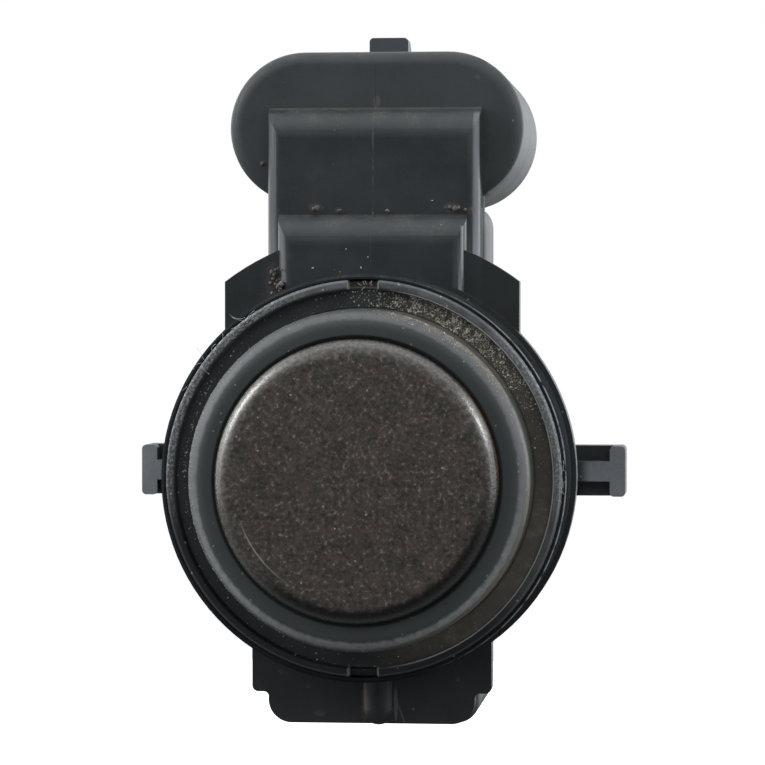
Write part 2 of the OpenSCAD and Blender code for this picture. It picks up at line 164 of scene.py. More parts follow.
def noise(tree, vector, scale, detail=2.0, roughness=0.5):
    """Cloudy noise of so many cells to the millimetre."""
    return place(tree, "ShaderNodeTexNoise", {"Vector": vector, "Scale": scale, "Detail": detail,
                                              "Roughness": roughness}).outputs["Fac"]


def effect(name, inputs, outputs):
    """An empty shader group with number inputs, given with their defaults, and named outputs."""
    tree = bpy.data.node_groups.new(name, "ShaderNodeTree")
    for label, default in inputs.items():
        socket = tree.interface.new_socket(label, in_out="INPUT", socket_type="NodeSocketFloat")
        socket.default_value = default
    for label, kind in outputs.items():
        tree.interface.new_socket(label, in_out="OUTPUT", socket_type=kind)
    return tree, tree.nodes.new("NodeGroupInput").outputs, tree.nodes.new("NodeGroupOutput").inputs


def use(tree, group, **values):
    """Places an effect in a material with its own values and gives its outputs."""
    node = place(tree, "ShaderNodeGroup", node_tree=group)
    for label, value in values.items():
        node.inputs[label.replace("_", " ")].default_value = value
    return node.outputs


def finish_of(name):
    """A new material: its tree and its Principled shader."""
    material = bpy.data.materials.new(name)
    material.use_nodes = True
    return material, material.node_tree, material.node_tree.nodes["Principled BSDF"]


def cover(tree, skin, colour, roughness):
    """Gives a skin its changing colour and roughness."""
    tree.links.new(colour, skin.inputs["Base Color"])
    tree.links.new(roughness, skin.inputs["Roughness"])


def roughen(tree, skin, height, strength, depth):
    """Bumps a skin by a height whose full range stands for a depth in millimetres."""
    bump = place(tree, "ShaderNodeBump", {"Height": height, "Strength": strength, "Distance": depth * mm})
    tree.links.new(bump.outputs["Normal"], skin.inputs["Normal"])
    return bump.outputs["Normal"]


def dress(piece, material):
    """Gives a piece its one material."""
    piece.data.materials.clear()
    piece.data.materials.append(material)


# Moulded grain: the fine pits of an eroded mould, and slow cloudy changes of tone.
grain_group, grain_in, grain_out = effect(
    "moulded_grain", {"Cells": 9.0, "Cloud Cells": 0.35},
    {"Height": "NodeSocketFloat", "Tone": "NodeSocketFloat"})
spot = millimetres(grain_group)
pits = noise(grain_group, spot, grain_in["Cells"], 3.0, 0.6)
clouds = noise(grain_group, spot, grain_in["Cloud Cells"], 4.0, 0.62)
pit_share = 0.35
grain_group.links.new(pits, grain_out["Height"])
grain_group.links.new(mingle(grain_group, pits, clouds, pit_share), grain_out["Tone"])

# Settled dust: a beige film in patches, thickest on faces that look up, with crumbs in it.
dust_group, dust_in, dust_out = effect(
    "settled_dust", {"Cover": 0.2, "On Top": 0.5, "Patch Cells": 0.6, "Crumb Cells": 5.0},
    {"Mask": "NodeSocketFloat", "Colour": "NodeSocketColor"})
dark_dust, light_dust = (0.16, 0.145, 0.12), (0.34, 0.30, 0.24)
spot = millimetres(dust_group)
facing = place(dust_group, "ShaderNodeNewGeometry").outputs["Normal"]
facing_up = place(dust_group, "ShaderNodeSeparateXYZ", {0: facing}).outputs["Z"]
patches = noise(dust_group, spot, dust_in["Patch Cells"], 5.0, 0.6)
crumbled = noise(dust_group, spot, dust_in["Crumb Cells"], 3.0, 0.7)
lying = times(dust_group, calc(dust_group, "MAXIMUM", facing_up, 0.0), dust_in["On Top"])
settled = calc(dust_group, "ADD", calc(dust_group, "ADD", dust_in["Cover"], lying),
               calc(dust_group, "SUBTRACT", patches, 0.5))
settled = times(dust_group, ramp(dust_group, settled, 0.1, 0.75),
                spread(dust_group, ramp(dust_group, crumbled, 0.42, 0.68), 0.3, 1.0))
dust_group.links.new(settled, dust_out["Mask"])
dust_group.links.new(blend(dust_group, crumbled, dark_dust, light_dust), dust_out["Colour"])

# Pale specks: tiny crumbs of lint and chalky dirt scattered one by one.
speck_group, speck_in, speck_out = effect(
    "pale_specks", {"Cells": 2.2, "Size": 0.13, "Share": 0.35}, {"Mask": "NodeSocketFloat"})
spot = millimetres(speck_group)
cells = place(speck_group, "ShaderNodeTexVoronoi", {"Vector": spot, "Scale": speck_in["Cells"]})
chosen = place(speck_group, "ShaderNodeSeparateColor", {0: cells.outputs["Color"]}).outputs["Red"]
chosen = calc(speck_group, "LESS_THAN", chosen, speck_in["Share"])
near = calc(speck_group, "LESS_THAN", cells.outputs["Distance"], speck_in["Size"])
speck_group.links.new(times(speck_group, chosen, near), speck_out["Mask"])

# Round the axis: how far a point lies from the sensor's axis, how deep, and at what o'clock.
clock_group, _, clock_out = effect(
    "round_the_axis", {},
    {"Radius": "NodeSocketFloat", "Depth": "NodeSocketFloat", "Hour": "NodeSocketFloat"})
aside, depth, height = along_axes(clock_group)
squares = calc(clock_group, "MULTIPLY_ADD", aside, aside, times(clock_group, height, height))
turn = times(clock_group, calc(clock_group, "ARCTAN2", aside, height), 6 / np.pi)
clock_group.links.new(calc(clock_group, "SQRT", squares), clock_out["Radius"])
clock_group.links.new(depth, clock_out["Depth"])
clock_group.links.new(calc(clock_group, "FLOORED_MODULO", turn, 12.0), clock_out["Hour"])


def bevelled_copy(node, name, edge, steps):
    """A copy of a solid: its doubled points merged, its flat faces freed of inner edges, and
    every edge sharper than thirty degrees rounded to a small radius."""
    sharp_from = np.radians(30)
    flat_within = np.radians(0.4)
    shape = bmesh.new()
    shape.from_mesh(node.data)
    bmesh.ops.remove_doubles(shape, verts=shape.verts, dist=2e-6)
    bmesh.ops.dissolve_limit(shape, angle_limit=flat_within, verts=shape.verts, edges=shape.edges)
    mesh = bpy.data.meshes.new(name)
    shape.to_mesh(mesh)
    shape.free()
    mesh.shade_smooth()
    mesh.set_sharp_from_angle(angle=sharp_from)
    piece = put(name, mesh)
    rounding = piece.modifiers.new("rounded_edges", "BEVEL")
    rounding.width = edge
    rounding.segments = steps
    rounding.limit_method = "ANGLE"
    rounding.angle_limit = sharp_from
    rounding.harden_normals = True
    flats = piece.modifiers.new("flat_faces", "WEIGHTED_NORMAL")
    flats.keep_sharp = True
    return piece


def patch(tree, where, broken, middle, reach, lean):
    """A soft-edged oval on the front faces, round a middle (x, z) and with half sizes (x, z), in
    millimetres. It leans left by so much for each millimetre up, and a noise breaks its edge."""
    front_faces = (3.85, 4.05, 7.2, 7.6)
    aside, depth, height = where
    from_x = calc(tree, "SUBTRACT", aside, middle[0])
    from_z = calc(tree, "SUBTRACT", height, middle[1])
    if lean:
        from_x = calc(tree, "MULTIPLY_ADD", from_z, lean, from_x)
    step_x = calc(tree, "DIVIDE", from_x, reach[0])
    step_z = calc(tree, "DIVIDE", from_z, reach[1])
    away = calc(tree, "MULTIPLY_ADD", step_x, step_x, times(tree, step_z, step_z))
    ragged = calc(tree, "MULTIPLY_ADD", broken, 1.6, calc(tree, "SUBTRACT", away, 0.8))
    return zone(tree, (ragged, 1.0, 0.3), (depth, *front_faces))


housing_edge_r = 0.1
housing = bevelled_copy(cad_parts["housing"], "housing_moulding", housing_edge_r * mm, 2)
charcoal, tree, skin = finish_of("charcoal_plastic")
grain = use(tree, grain_group, Cells=11.0, Cloud_Cells=0.3)
dust = use(tree, dust_group, Cover=0.02, On_Top=0.35, Patch_Cells=0.7, Crumb_Cells=6.0)
specks = use(tree, speck_group, Cells=1.3, Size=0.07, Share=0.22)
smears = use(tree, speck_group, Cells=0.55, Size=0.1, Share=0.22)
clock = use(tree, clock_group)
aside, depth, height = along_axes(tree)
beside = calc(tree, "ABSOLUTE", aside)
broken = noise(tree, millimetres(tree), 2.2, 3.0, 0.6)
facing = place(tree, "ShaderNodeNewGeometry").outputs["Normal"]
facing_front = times(tree, place(tree, "ShaderNodeSeparateXYZ", {0: facing}).outputs["Y"], -1.0)
tone = ramp(tree, grain["Tone"], 0.3, 0.7)
patchy = spread(tree, tone, 0.6, 0.9)
plain = blend(tree, tone, (0.014, 0.0168, 0.0187), (0.0255, 0.030, 0.0328))

# The shoulders beside the neck are painted darker, a painted shade from the head and the pad. The
# socket's flange is painted paler, a painted light on that open face; the floors of the lugs' lower
# pockets are painted lighter as painted light; and the lugs are painted pale grey as painted light, most
# on the faces that look forward. The latch is paler and bluer.
shoulder_shade = zone(tree, (beside, 6.1, 6.4), (height, 5.0, 7.0), (depth, 6.0, 5.8))
plain = blend(tree, shoulder_shade, plain, (0.0085, 0.0102, 0.0115), 0.5)
# Painted light: the face of the socket's flange is painted paler where it lies open to the light above.
on_flange = zone(tree, (depth, 6.3, 6.7), (height, 13.6, 14.4))
flange_light = times(tree, on_flange, spread(tree, grain["Tone"], 0.35, 1.15))
plain = blend(tree, flange_light, plain, (0.070, 0.0755, 0.077))
# Painted light: the floor of each lug's lower pocket is painted lighter, though the bar above shades it.
pocket_floor = zone(tree, (facing_front, 0.7, 0.9), (depth, 11.2, 11.4))
pocket_light = times(tree, pocket_floor, zone(tree, (beside, 11.0, 12.0), (height, -0.3, -0.5)))
plain = blend(tree, pocket_light, plain, (0.10, 0.105, 0.115))
# Painted light: the lugs are painted pale grey, most on faces that look forward.
on_lugs = times(tree, ramp(tree, beside, 11.4, 12.2), calc(tree, "SUBTRACT", 1.0, pocket_floor))
lightened = spread(tree, ramp(tree, facing_front, 0.2, 0.7), 0.18, 1.0)
plain = blend(tree, times(tree, on_lugs, patchy, lightened), plain, (0.25, 0.265, 0.285))
on_latch = ramp(tree, height, 24.0, 24.4)
plain = blend(tree, times(tree, on_latch, patchy), plain, (0.062, 0.070, 0.086))
surface_colour = blend(tree, dust["Mask"], plain, dust["Colour"], 0.35)

# The upright edges of the pad and the neck are painted pale as painted highlights, brightest at the
# right, and so is a line on the barrel's lip; specks and smears of dirt lie all over.
above_barrel = ramp(tree, height, 10.5, 12.0)
on_right = ramp(tree, aside, -1.0, 1.0)
pad_edge = zone(tree, (beside, 5.0, 5.22, 5.5, 5.6), (depth, 4.47, 4.4))
neck_edge = zone(tree, (beside, 5.6, 5.75, 5.95, 6.05), (depth, 4.9, 5.1, 5.9, 6.2))
for edge, left_highlight, right_highlight in (
        (pad_edge, (0.040, 0.044, 0.049), (0.30, 0.315, 0.335)),
        (neck_edge, (0.031, 0.034, 0.038), (0.13, 0.1365, 0.1455))):
    edge_highlight = blend(tree, on_right, left_highlight, right_highlight)
    surface_colour = blend(tree, times(tree, edge, above_barrel), surface_colour, edge_highlight, 0.85)
surface_colour = blend(tree, specks["Mask"], surface_colour, (0.28, 0.27, 0.25), 0.65)
# Painted highlight: a pale line round the barrel's lip at the right.
lip_highlight = zone(tree, (clock["Radius"], 11.15, 11.17, 11.21, 11.24), (depth, 0.3, 0.15),
                (clock["Hour"], 0.0, 2.2, 4.0, 5.6), (broken, 0.3, 0.55))
surface_colour = blend(tree, lip_highlight, surface_colour, (0.3, 0.305, 0.31), 0.8)
smeared = times(tree, smears["Mask"], ramp(tree, broken, 0.35, 0.6))
surface_colour = blend(tree, smeared, surface_colour, (0.115, 0.105, 0.09), 0.55)

# Single marks on the front faces: middle and half sizes (x, z), lean, colour and strength. The marks left
# and right of the rib are painted highlights on its rounded sides.
ledge_brown = (0.10, 0.080, 0.070)
smear_grey = (0.075, 0.080, 0.082)
front_marks = {
    "crust beside the pad": ((-5.6, 10.9), (0.5, 1.3), 0.0, (0.055, 0.045, 0.043), 0.6),
    "gate mark on the socket": ((0.05, 21.2), (0.3, 0.4), 0.0, (0.11, 0.112, 0.095), 0.6),
    "left of the ledge": ((-3.25, 15.1), (0.5, 0.3), 0.0, ledge_brown, 0.4),
    "left middle of the ledge": ((-1.95, 14.95), (0.35, 0.2), 0.0, ledge_brown, 0.4),
    "right of the ledge": ((4.5, 15.1), (0.55, 0.35), 0.0, ledge_brown, 0.4),
    "right end of the ledge": ((5.6, 14.95), (0.3, 0.3), 0.0, ledge_brown, 0.4),
    "left of the neck": ((-6.5, 17.7), (0.25, 0.25), 0.0, ledge_brown, 0.4),
    "left of the rib": ((-0.4, -12.9), (0.25, 1.3), 0.0, (0.075, 0.060, 0.050), 0.7),
    "scratch right of the rib": ((1.666, -13.4), (0.08, 0.7), 0.39, (0.11, 0.118, 0.13), 0.6),
    "smear at the lower left": ((-2.9, -13.5), (0.4, 0.22), 0.0, smear_grey, 0.4),
    "smear at the lower right": ((4.9, -11.5), (0.14, 0.2), 0.0, smear_grey, 0.4),
    "smear by the left corner": ((-3.6, -12.0), (0.12, 0.12), 0.0, smear_grey, 0.4),
    "right of the rib": ((1.38, -12.9), (0.14, 1.2), 0.0, (0.13, 0.14, 0.155), 0.7),
}
for middle, reach, lean, colour, strength in front_marks.values():
    mark = patch(tree, (aside, depth, height), broken, middle, reach, lean)
    surface_colour = blend(tree, mark, surface_colour, colour, strength)
cover(tree, skin, surface_colour, spread(tree, tone, 0.4, 0.5))

# The gloss is lost on the flange's edge, on the lip, and at a flat glance on the barrel's wall and
# the neck's right flank, most of all along a line there.
full_gloss = 0.5
flange_edge = zone(tree, (depth, 6.4, 6.7, 7.3, 7.6), (height, 15.0, 16.0))
glancing = place(tree, "ShaderNodeLayerWeight", {"Blend": 0.5}).outputs["Facing"]
grazing = ramp(tree, glancing, 0.5, 0.8)
barrel_wall = times(tree, ramp(tree, depth, 4.0, 3.6), grazing)
lip_and_wall = calc(tree, "MAXIMUM", ramp(tree, depth, 0.5, 0.3), barrel_wall)
flank = times(tree, zone(tree, (aside, 5.75, 5.9, 6.3, 6.4), (height, 10.5, 11.5)), grazing)
flank_front = times(tree, flank, ramp(tree, depth, 14.0, 8.3))
flank_line = times(tree, flank, band(tree, depth, 7.8, 7.9, 8.2, 8.3))
gloss = full_gloss
for mask, loss in ((flange_edge, 0.38), (lip_and_wall, 0.5), (flank_line, 0.02), (flank_front, 0.48)):
    gloss = calc(tree, "MULTIPLY_ADD", mask, -loss, gloss)
tree.links.new(calc(tree, "MAXIMUM", gloss, 0.0), skin.inputs["Specular IOR Level"])
roughen(tree, skin, grain["Height"], 0.25, 0.03)
dress(housing, charcoal)
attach(housing, "root")
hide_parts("housing")


# Contact pins: three stamped brass blades, tinned bright, with the faint lines of the rolling.
# They are moulded into the neck and stand free in the socket.
tinned, tree, skin = finish_of("tinned_contact")
rolling_scale = (14.0, 0.8, 14.0)
rolled = place(tree, "ShaderNodeMapping", {"Vector": millimetres(tree), "Scale": rolling_scale})
lines = noise(tree, rolled.outputs["Vector"], 1.0, 3.0, 0.6)
tin = blend(tree, lines, (0.52, 0.50, 0.45), (0.66, 0.64, 0.59))
cover(tree, skin, tin, spread(tree, lines, 0.2, 0.4))
skin.inputs["Metallic"].default_value = 1.0
for name in ("supply_pin", "signal_pin", "ground_pin"):
    dress(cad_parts[name], tinned)


# Sealed inner pieces: the disc, felt, filling and leads in the pot, and the board with its
# components, each in its own finish (colour, roughness, metal) although potting and membrane
# hide them.
inner_finishes = {
    "piezo_disc": ((0.60, 0.57, 0.45), 0.35, 0.0),
    "damping_felt": ((0.50, 0.46, 0.40), 0.95, 0.0),
    "pot_filling": ((0.26, 0.28, 0.30), 0.55, 0.0),
    "signal_lead": ((0.45, 0.04, 0.03), 0.45, 0.0),
    "ground_lead": ((0.02, 0.02, 0.02), 0.45, 0.0),
    "circuit_board": ((0.03, 0.11, 0.045), 0.4, 0.0),
    "transceiver_chip": ((0.02, 0.021, 0.023), 0.6, 0.0),
    "transformer_core": ((0.045, 0.042, 0.04), 0.55, 0.0),
    "transformer_coil": ((0.38, 0.12, 0.03), 0.3, 1.0),
    "supply_capacitor": ((0.35, 0.25, 0.14), 0.4, 0.0),
    "filter_capacitors": ((0.35, 0.25, 0.14), 0.4, 0.0),
    "chip_resistors": ((0.025, 0.025, 0.025), 0.35, 0.0),
    "protection_diode": ((0.02, 0.021, 0.023), 0.6, 0.0),
}
inner_shade = 0.75
for name, (colour, roughness, metallic) in inner_finishes.items():
    inner, tree, skin = finish_of(name + "_finish")
    grain = use(tree, grain_group, Cells=7.0, Cloud_Cells=0.8)
    darker = tuple(inner_shade * part for part in colour)
    uneven = spread(tree, grain["Tone"], roughness - 0.08, roughness + 0.07)
    cover(tree, skin, blend(tree, grain["Tone"], darker, colour), uneven)
    skin.inputs["Metallic"].default_value = metallic
    dress(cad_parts[name], inner)


# Rear potting: black resin poured into the open back. It climbs a little at the walls as it
# cures and sinks in the middle, and its skin stays slightly glossy.
def quads_of(index):
    """The quads between neighbouring rows and columns of one or many grids of point numbers."""
    corners = [index[..., :-1, :-1], index[..., 1:, :-1], index[..., 1:, 1:], index[..., :-1, 1:]]
    return np.stack(corners, axis=-1).reshape(-1, 4)


def mesh_of(name, points, quads):
    """A smooth mesh from points in millimetres and the quads between them."""
    mesh = bpy.data.meshes.new(name)
    mesh.from_pydata((points.reshape(-1, 3) * mm).tolist(), [], quads.tolist())
    mesh.shade_smooth()
    return mesh


def weld(mesh):
    """Merges the doubled points of a mesh, such as those at poles, and turns its faces outwards."""
    shape = bmesh.new()
    shape.from_mesh(mesh)
    bmesh.ops.remove_doubles(shape, verts=shape.verts, dist=1e-7)
    bmesh.ops.dissolve_degenerate(shape, edges=shape.edges, dist=1e-8)
    bmesh.ops.recalc_face_normals(shape, faces=shape.faces)
    shape.to_mesh(mesh)
    shape.free()


def grid_piece(name, points, round_u, round_v):
    """A surface from a grid of points (u, v, xyz) in millimetres, closed round u or v where asked:
    neighbouring points make quads, and edges of more than forty degrees stay sharp."""
    rows, columns = points.shape[:2]
    index = np.arange(rows * columns).reshape(rows, columns)
    if round_u:
        index = np.vstack([index, index[:1]])
    if round_v:
        index = np.hstack([index, index[:, :1]])
    mesh = mesh_of(name, points, quads_of(index))
    weld(mesh)
    mesh.set_sharp_from_angle(angle=np.radians(40))
    return put(name, mesh)


def rounded_outline(low, high, radius, count):
    """Points round a rectangle with rounded corners: equal angles about each corner's centre,
    a quarter turn each, so that the straight sides join one corner to the next."""
    angle = np.linspace(0, 2 * np.pi, count, endpoint=False) + np.pi / count
    cosine, sine = np.cos(angle), np.sin(angle)
    corner_x = np.where(cosine > 0, high[0] - radius, low[0] + radius)
    corner_z = np.where(sine > 0, high[1] - radius, low[1] + radius)
    return np.stack([corner_x + radius * cosine, corner_z + radius * sine], axis=-1)


potting_low, potting_high = (np.array(corner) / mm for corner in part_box("rear_potting"))
potting_corner = 0.5
potting_sag = 0.12
ripple_h = 0.03
meniscus_rise = 0.3
meniscus_reach = 0.45
plan_low, plan_high = potting_low[[0, 2]], potting_high[[0, 2]]
outline = rounded_outline(plan_low, plan_high, potting_corner, 96)
middle = (plan_low + plan_high) / 2
back_rows = [0, 0.5, 1]
inset = np.concatenate([back_rows, 1 - 0.5 * np.linspace(0, 1, 28) ** 2, np.linspace(0.45, 0, 10)])
plan = middle + (outline[:, None] - middle) * inset[None, :, None]
side_gap = np.minimum(np.abs(plan - plan_low), np.abs(plan - plan_high)).min(axis=-1)
ripple = ripple_h * np.sin(plan[..., 0] * 0.9 + plan[..., 1] * 0.35)
level = potting_high[1] - (potting_sag * (1 - inset) + ripple)
level = level + meniscus_rise * np.exp(-side_gap / meniscus_reach)
level[:, :len(back_rows)] = potting_low[1]
potting = grid_piece("potting_fill", np.stack([plan[..., 0], level, plan[..., 1]], axis=-1), True, False)
resin, tree, skin = finish_of("potting_resin")
grain = use(tree, grain_group, Cells=2.5, Cloud_Cells=0.25)
dust = use(tree, dust_group, Cover=0.1, On_Top=0.1, Patch_Cells=0.5, Crumb_Cells=5.0)
plain = blend(tree, grain["Tone"], (0.016, 0.018, 0.02), (0.03, 0.033, 0.036))
surface_colour = blend(tree, dust["Mask"], plain, dust["Colour"], 0.4)
cover(tree, skin, surface_colour, spread(tree, grain["Tone"], 0.2, 0.45))
roughen(tree, skin, grain["Tone"], 0.3, 0.1)
dress(potting, resin)
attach(potting, "root")
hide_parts("rear_potting")


# Transducer pot: a drawn aluminium cup whose membrane is sprayed with brown metallic paint.
# The paint thins on the rounded edge, where it is rough and catches the light; its shade and its
# brightest highlights there are painted.
def profile(corners, radii, steps):
    """A section from its corner points, each rounded by an arc: the arc's centre lies on the
    corner's bisector, and its points turn evenly from one side's tangent point to the other's."""
    corners = np.array(corners, float)
    radii = np.array(radii, float)[:, None]
    to_last = np.roll(corners, 1, axis=0) - corners
    to_next = np.roll(corners, -1, axis=0) - corners
    to_last /= np.linalg.norm(to_last, axis=1, keepdims=True)
    to_next /= np.linalg.norm(to_next, axis=1, keepdims=True)
    half = np.arccos((to_last * to_next).sum(axis=1, keepdims=True)) / 2
    inwards = (to_last + to_next) / (2 * np.cos(half))
    centre = corners + inwards * radii / np.sin(half)
    start = corners + to_last * radii / np.tan(half) - centre
    end = corners + to_next * radii / np.tan(half) - centre
    sweep = (np.pi - 2 * half)[:, None]
    share = np.linspace(0, 1, steps)[None, :, None]
    from_start = np.sin((1 - share) * sweep) * start[:, None]
    to_end = np.sin(share * sweep) * end[:, None]
    arc = (from_start + to_end) / np.sin(sweep)
    return (centre[:, None] + arc).reshape(-1, 2)


def turned(name, section, turns, closed):
    """A turned piece: each section point (radius, depth) goes round the sensor's axis, to
    (r sin a, y, r cos a) at each angle a; a section may differ from angle to angle."""
    angle = np.linspace(0, 2 * np.pi, turns, endpoint=False)[:, None]
    radius, depth = np.broadcast_to(section, (turns,) + section.shape[-2:]).transpose(2, 0, 1)
    points = np.stack([radius * np.sin(angle), depth, radius * np.cos(angle)], axis=-1)
    return grid_piece(name, points, True, closed)


pot_r = 7.75
pot_face = -4.5
pot_back = 4.2
pot_edge_r = 1.0
pot_bore_r = 6.6
pot_foot_r = 8.25
pot_foot_front = 2.7
membrane_back = -3.8
small_edge_r = 0.1
pot_section = profile(
    [(0, pot_face), (pot_r, pot_face), (pot_r, pot_foot_front), (pot_foot_r, pot_foot_front),
     (pot_foot_r, pot_back), (pot_bore_r, pot_back), (pot_bore_r, membrane_back), (0, membrane_back)],
    [0, pot_edge_r] + [small_edge_r] * 5 + [0], 14)
pot = turned("membrane_pot", pot_section, 360, False)
paint, tree, skin = finish_of("brown_metallic_paint")
spot = millimetres(tree)
aside, _, height = along_axes(tree)
radius, depth, hour = use(tree, clock_group)
specks = use(tree, speck_group, Cells=1.7, Size=0.09, Share=0.2)
flakes = noise(tree, spot, 4.4, 3.0, 0.66)
glitter = noise(tree, spot, 10.0, 2.0, 0.6)
blots = noise(tree, spot, 1.3, 4.0, 0.65)
hues = noise(tree, spot, 1.3, 3.0, 0.6)
mottle = mingle(tree, flakes, blots, 0.68)
dark_brown = blend(tree, hues, (0.026, 0.023, 0.018), (0.029, 0.021, 0.018))
light_brown = blend(tree, ramp(tree, hues, 0.4, 0.6), (0.097, 0.086, 0.073), (0.107, 0.081, 0.0735))
brown = blend(tree, ramp(tree, mottle, 0.27, 0.69), dark_brown, light_brown)
brown = blend(tree, ramp(tree, glitter, 0.62, 0.78), brown, (0.19, 0.163, 0.145))
brown = blend(tree, ramp(tree, flakes, 0.58, 0.71), brown, (0.22, 0.188, 0.166))
brown = blend(tree, specks["Mask"], brown, (0.40, 0.355, 0.305), 0.85)

# The thin paint of the rounded edge: painted darker below as painted shade, and painted pale at the upper
# left and right as painted highlights.
low_side = ramp(tree, calc(tree, "MULTIPLY_ADD", aside, -0.35, height), -2.0, -5.6)
thin_dark = blend(tree, low_side, (0.050, 0.043, 0.038), (0.009, 0.008, 0.007))
thin_light = blend(tree, low_side, (0.105, 0.092, 0.082), (0.022, 0.019, 0.017))
thin = blend(tree, ramp(tree, flakes, 0.4, 0.65), thin_dark, thin_light)
highlight_hours = calc(tree, "MAXIMUM", band(tree, hour, 9.0, 9.8, 10.6, 11.4),
                  band(tree, hour, 1.5, 1.9, 2.3, 2.7))
highlight_edge = zone(tree, (radius, pot_r - 0.75, pot_r - 0.3), (flakes, 0.2, 0.6))
pot_highlight = times(tree, highlight_hours, highlight_edge)
thin = blend(tree, pot_highlight, thin, (0.20, 0.182, 0.162))
on_edge = ramp(tree, radius, pot_r - pot_edge_r, pot_r - 0.6 * pot_edge_r)
brown = blend(tree, on_edge, brown, thin)

# A pale hairline at the lower left, a painted highlight on a ridge in the paint, and the wall, bare of
# paint at the right.
hairline_highlight = zone(tree, (radius, 6.51, 6.55, 6.58, 6.63), (hour, 6.9, 7.9, 7.9, 8.5), (mottle, 0.3, 0.5))
brown = blend(tree, hairline_highlight, brown, (0.30, 0.275, 0.23))
side_wall = ramp(tree, radius, pot_r - 0.05, pot_r - 0.02)
bare = zone(tree, (hour, 1.3, 1.8, 2.8, 3.3), (depth, -3.15, -3.3))
wall_colour = blend(tree, bare, (0.012, 0.010, 0.009), (0.085, 0.042, 0.015))
brown = blend(tree, side_wall, brown, wall_colour)
polished = ramp(tree, radius, pot_r - 0.55, pot_r - 0.25)
bright_edge = times(tree, polished, calc(tree, "SUBTRACT", 1.0, side_wall))
dull_paint = spread(tree, mottle, 0.22, 0.52)
cover(tree, skin, brown, calc(tree, "MULTIPLY_ADD", bright_edge, -0.1, dull_paint))
tree.links.new(bright_edge, skin.inputs["Coat Weight"])
skin.inputs["Specular IOR Level"].default_value = 0.35
skin.inputs["Metallic"].default_value = 0.15
skin.inputs["Coat Roughness"].default_value = 0.09
rough_paint = roughen(tree, skin, mingle(tree, flakes, glitter, 0.6), 0.6, 0.06)
tree.links.new(rough_paint, skin.inputs["Coat Normal"])
dress(pot, paint)
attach(pot, "root")
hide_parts("transducer_pot")


# Decoupling ring: dark grey silicone moulded round the pot, with a blunt rounded nose. A thin groove
# parts it from the paint, and its shoulder has a paler grey band. The rubber, and that band most, is
# painted lighter towards the bottom as painted light from below.
nose_front = -3.4
nose_r = 9.35
nose_edge_r = 1.0
nose_back = -0.2
nose_foot_r = 9.45
nose_foot = 0.4
groove_w = 0.2
groove_floor = -3.2
skirt_r = 10.3
skirt_front = 1.6
skirt_back = 4.4
silicone_section = profile(
    [(pot_r, groove_floor), (pot_r + groove_w, nose_front), (nose_r, nose_front), (nose_r, nose_back),
     (nose_foot_r, nose_foot), (nose_foot_r, skirt_front), (skirt_r, skirt_front), (skirt_r, skirt_back),
     (pot_r, skirt_back), (pot_r, pot_back), (pot_foot_r, pot_back), (pot_foot_r, pot_foot_front),
     (pot_r, pot_foot_front)],
    [0.02, 0.1, nose_edge_r, 0.3, 0.1, 0.05, 0.1, 0.1, 0.05, 0.05, 0.1, 0.1, 0.1], 12)
silicone_ring = turned("silicone_ring", silicone_section, 360, True)
silicone, tree, skin = finish_of("grey_silicone")
_, _, height = along_axes(tree)
radius, depth, hour = use(tree, clock_group)
grain = use(tree, grain_group, Cells=7.0, Cloud_Cells=0.5)
specks = use(tree, speck_group, Cells=2.4, Size=0.12, Share=0.22)
scraped = noise(tree, millimetres(tree), 2.6, 4.0, 0.65)
wobble = 0.24
uneven = calc(tree, "MULTIPLY_ADD", scraped, wobble, calc(tree, "SUBTRACT", radius, wobble / 2))
# Painted light: the rubber is painted lighter towards the bottom, and the shoulder's band more so.
below = ramp(tree, height, 2.0, -8.0)
rubber = blend(tree, grain["Tone"], (0.038, 0.043, 0.042), (0.057, 0.063, 0.063))
rubber = blend(tree, below, rubber, (0.085, 0.092, 0.092), 0.3)
shoulder = band(tree, uneven, nose_r - 0.66, nose_r - 0.44, nose_r - 0.28, nose_r - 0.06)
lightened = times(tree, shoulder, spread(tree, ramp(tree, scraped, 0.3, 0.6), 0.65, 0.95))
greyed = blend(tree, below, (0.112, 0.117, 0.121), (0.28, 0.285, 0.28))
rubber = blend(tree, lightened, rubber, greyed)
near_foot = ramp(tree, depth, -0.6, 0.2)
near_nose = ramp(tree, depth, -1.3, -2.3)
dirty = times(tree, zone(tree, (uneven, nose_r - 0.3, nose_r - 0.12), (scraped, 0.3, 0.55)),
              calc(tree, "MAXIMUM", near_foot, near_nose))
brown_hours, slope_brown = (1.6, 2.6, 4.8, 6.0), (0.115, 0.104, 0.088)
beige_hours, slope_beige = (0.0, 0.5, 1.8, 2.4), (0.14, 0.125, 0.10)
for hours, colour in ((brown_hours, slope_brown), (beige_hours, slope_beige)):
    rubber = blend(tree, times(tree, dirty, band(tree, hour, *hours)), rubber, colour)
rubber = blend(tree, specks["Mask"], rubber, (0.35, 0.33, 0.3), 0.5)
cover(tree, skin, rubber, spread(tree, grain["Tone"], 0.42, 0.57))
skin.inputs["Specular IOR Level"].default_value = 0.28
roughen(tree, skin, grain["Height"], 0.15, 0.03)
dress(silicone_ring, silicone)
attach(silicone_ring, "root")
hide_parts("decoupling_ring")


# Retaining ring: flat black plastic, pressed into the barrel over the silicone skirt. Its raised
# rim is painted grey above and black below as painted light and shade, and is broken by a notch at the
# top and another at the bottom.
ring_bore_r = 9.45
ring_r = 10.99
ring_rim_w = 0.52
ring_front = -0.15
ring_floor = 0.45
ring_seat = 1.6
rim_in = ring_r - ring_rim_w
notch_half_w = 0.85
notch_ramp = 0.12
notch_step = 0.16
ring_turns = 1440


def ring_section(rim_front):
    """The ring's section with its rim standing out to a given depth."""
    corners = [(ring_bore_r, ring_floor), (rim_in, ring_floor), (rim_in, rim_front), (ring_r, rim_front),
               (ring_r, ring_seat), (ring_bore_r, ring_seat)]
    return profile(corners, [0.05, 0.12, 0.16, 0.14, 0.1, 0.1], 8)


